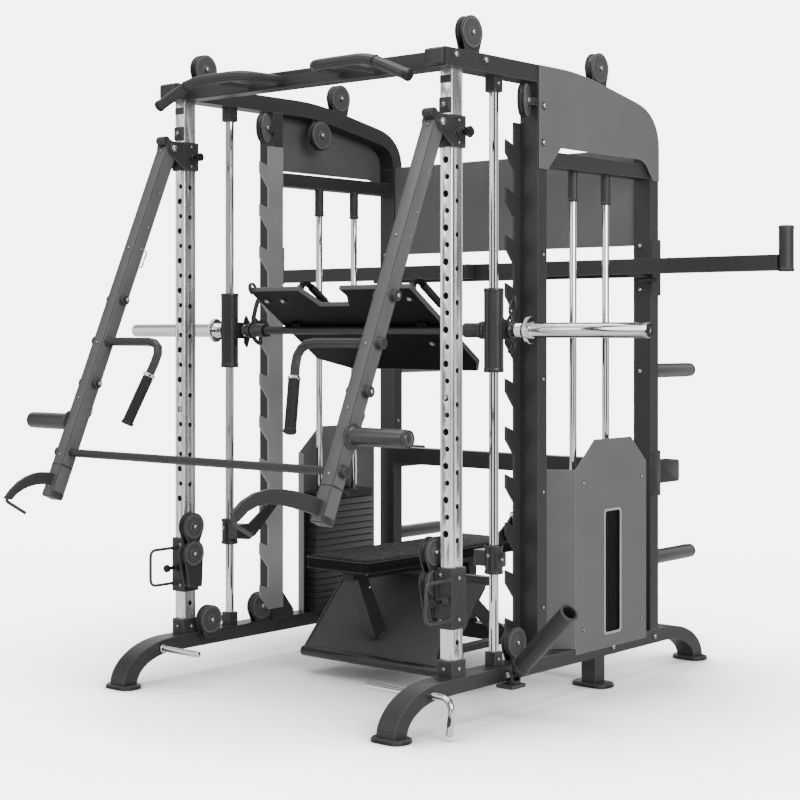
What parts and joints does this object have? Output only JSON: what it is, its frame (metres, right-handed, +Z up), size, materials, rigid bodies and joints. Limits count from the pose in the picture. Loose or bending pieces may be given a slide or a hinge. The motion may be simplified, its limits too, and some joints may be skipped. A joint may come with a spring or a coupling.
{
  "type": "smith machine",
  "caption": "Steel rack with a guided bar, leaning lever arms, cable trolleys on weight stacks, pull-up grips, a low bench, side bars and a swivelling tube for a long bar.",
  "frame": {"origin": "on the floor, at the middle of the machine's bounding box", "axes": "+X to the side along the bar, which is the longest extent, +Y towards the rear of the machine, +Z up"},
  "size_m": [2.536, 2.5328, 2.315],
  "materials": {
    "frame_paint": "satin dark grey powder coat",
    "panel_paint": "satin mid grey powder coat",
    "brushed_steel": "brushed, light silver",
    "chrome": "polished",
    "black_paint": "satin black, fine texture",
    "black_plastic": "matte black",
    "cast_iron": "black coated",
    "leather": "black upholstery with a soft sheen"
  },
  "bodies": {
    "frame": {"right_base_rail": "frame_paint", "left_base_rail": "frame_paint", "right_front_upright": "brushed_steel", "left_front_upright": "brushed_steel", "right_mid_upright": "frame_paint", "left_mid_upright": "frame_paint", "right_notch_plate": "frame_paint", "left_notch_plate": "frame_paint", "right_rear_upright": "frame_paint", "left_rear_upright": "frame_paint", "right_top_beam": "frame_paint", "left_top_beam": "frame_paint", "right_side_cover": "panel_paint", "left_side_cover": "panel_paint", "right_smith_rod": "chrome", "left_smith_rod": "chrome", "right_stack_frame": "frame_paint", "left_stack_frame": "frame_paint", "right_shroud": "panel_paint", "left_shroud": "panel_paint", "right_weight_stack": "cast_iron", "left_weight_stack": "cast_iron", "pull_up_bar": "frame_paint", "upper_cross_tube": "frame_paint", "lower_cross_tube": "frame_paint", "rear_panel": "panel_paint", "base_cross_tube": "frame_paint", "row_foot_plate": "black_paint", "seat_pad": "leather", "seat_frame": "frame_paint"},
    "smith_carriage": {"right_bearing": "black_paint", "left_bearing": "black_paint"},
    "smith_bar": {"smith_bar": "chrome", "leg_press_plate": "black_paint"},
    "arm_carriage": {"right_arm_collar": "frame_paint", "left_arm_collar": "frame_paint"},
    "lever_arms": {"right_lever_arm": "frame_paint", "left_lever_arm": "frame_paint", "arm_cross_bar": "frame_paint"},
    "right_safety_stop": {"right_safety_stop": "black_paint"},
    "right_collar_pin": {"right_collar_pin": "black_plastic"},
    "right_trolley": {"right_trolley": "frame_paint"},
    "right_trolley_pin": {"right_trolley_pin": "black_plastic"},
    "right_trolley_upper_wheel": {"right_trolley_upper_wheel": "black_plastic"},
    "right_trolley_lower_wheel": {"right_trolley_lower_wheel": "black_plastic"},
    "right_top_wheel": {"right_top_wheel": "black_plastic"},
    "right_stack_top_plate": {"right_stack_top_plate": "cast_iron"},
    "right_side_bar": {"right_side_bar": "frame_paint"},
    "left_safety_stop": {"left_safety_stop": "black_paint"},
    "left_collar_pin": {"left_collar_pin": "black_plastic"},
    "left_trolley": {"left_trolley": "frame_paint"},
    "left_trolley_pin": {"left_trolley_pin": "black_plastic"},
    "left_trolley_upper_wheel": {"left_trolley_upper_wheel": "black_plastic"},
    "left_trolley_lower_wheel": {"left_trolley_lower_wheel": "black_plastic"},
    "left_top_wheel": {"left_top_wheel": "black_plastic"},
    "left_stack_top_plate": {"left_stack_top_plate": "cast_iron"},
    "left_side_bar": {"left_side_bar": "frame_paint"},
    "landmine_yoke": {"landmine_yoke": "black_paint"},
    "landmine_tube": {"landmine_tube": "frame_paint"}
  },
  "joints": [
    {"name": "smith_carriage_slide", "type": "slide", "parent": "frame", "child": "smith_carriage", "axis": [0, 0, 1], "range_m": [-0.55, 0.55]},
    {"name": "smith_bar_turn", "type": "hinge", "parent": "smith_carriage", "child": "smith_bar", "pos_m": [0, -0.00658, 1.281], "axis": [1, 0, 0], "range_deg": [0, 25]},
    {"name": "arm_carriage_slide", "type": "slide", "parent": "frame", "child": "arm_carriage", "axis": [0, 0, 1], "range_m": [-0.55, 0]},
    {"name": "lever_arm_hinge", "type": "hinge", "parent": "arm_carriage", "child": "lever_arms", "pos_m": [0, -0.36258, 1.948], "axis": [1, 0, 0], "range_deg": [-60, 15]},
    {"name": "right_safety_stop_slide", "type": "slide", "parent": "frame", "child": "right_safety_stop", "axis": [0, 0, 1], "range_m": [-0.2, 0.5]},
    {"name": "right_collar_pin_push", "type": "slide", "parent": "arm_carriage", "child": "right_collar_pin", "axis": [-1, 0, 0], "range_m": [0, 0.012]},
    {"name": "right_trolley_slide", "type": "slide", "parent": "frame", "child": "right_trolley", "axis": [0, 0, 1], "range_m": [-0.09, 0.657]},
    {"name": "right_trolley_pin_push", "type": "slide", "parent": "right_trolley", "child": "right_trolley_pin", "axis": [0, 1, 0], "range_m": [0, 0.01]},
    {"name": "right_trolley_upper_wheel_spin", "type": "hinge", "parent": "right_trolley", "child": "right_trolley_upper_wheel", "pos_m": [0.571, -0.30058, 0.56], "axis": [1, 0, 0], "continuous": true},
    {"name": "right_trolley_lower_wheel_spin", "type": "hinge", "parent": "right_trolley", "child": "right_trolley_lower_wheel", "pos_m": [0.571, -0.30058, 0.46], "axis": [1, 0, 0], "continuous": true},
    {"name": "right_top_wheel_spin", "type": "hinge", "parent": "frame", "child": "right_top_wheel", "pos_m": [0.631, -0.18258, 2.259], "axis": [1, 0, 0], "continuous": true},
    {"name": "right_stack_lift", "type": "slide", "parent": "frame", "child": "right_stack_top_plate", "axis": [0, 0, 1], "range_m": [0, 0.9]},
    {"name": "right_side_bar_slide", "type": "slide", "parent": "frame", "child": "right_side_bar", "axis": [-1, 0, 0], "range_m": [0, 0.15]},
    {"name": "left_safety_stop_slide", "type": "slide", "parent": "frame", "child": "left_safety_stop", "axis": [0, 0, 1], "range_m": [-0.2, 0.5]},
    {"name": "left_collar_pin_push", "type": "slide", "parent": "arm_carriage", "child": "left_collar_pin", "axis": [-1, 0, 0], "range_m": [0, 0.012]},
    {"name": "left_trolley_slide", "type": "slide", "parent": "frame", "child": "left_trolley", "axis": [0, 0, 1], "range_m": [-0.09, 0.584]},
    {"name": "left_trolley_pin_push", "type": "slide", "parent": "left_trolley", "child": "left_trolley_pin", "axis": [0, 1, 0], "range_m": [0, 0.01]},
    {"name": "left_trolley_upper_wheel_spin", "type": "hinge", "parent": "left_trolley", "child": "left_trolley_upper_wheel", "pos_m": [-0.571, -0.30058, 0.56], "axis": [1, 0, 0], "continuous": true},
    {"name": "left_trolley_lower_wheel_spin", "type": "hinge", "parent": "left_trolley", "child": "left_trolley_lower_wheel", "pos_m": [-0.571, -0.30058, 0.46], "axis": [1, 0, 0], "continuous": true},
    {"name": "left_top_wheel_spin", "type": "hinge", "parent": "frame", "child": "left_top_wheel", "pos_m": [-0.631, -0.18258, 2.259], "axis": [1, 0, 0], "continuous": true},
    {"name": "left_stack_lift", "type": "slide", "parent": "frame", "child": "left_stack_top_plate", "axis": [0, 0, 1], "range_m": [0, 0.9]},
    {"name": "left_side_bar_slide", "type": "slide", "parent": "frame", "child": "left_side_bar", "axis": [1, 0, 0], "range_m": [0, 0.15]},
    {"name": "landmine_swivel", "type": "hinge", "parent": "frame", "child": "landmine_yoke", "pos_m": [0.702, -0.03258, 0.108], "axis": [0, 0, 1], "range_deg": [-60, 60]},
    {"name": "landmine_tilt", "type": "hinge", "parent": "landmine_yoke", "child": "landmine_tube", "pos_m": [0.702, -0.03258, 0.136], "axis": [0.2419, 0.9703, 0], "range_deg": [-40, 20]}
  ]
}
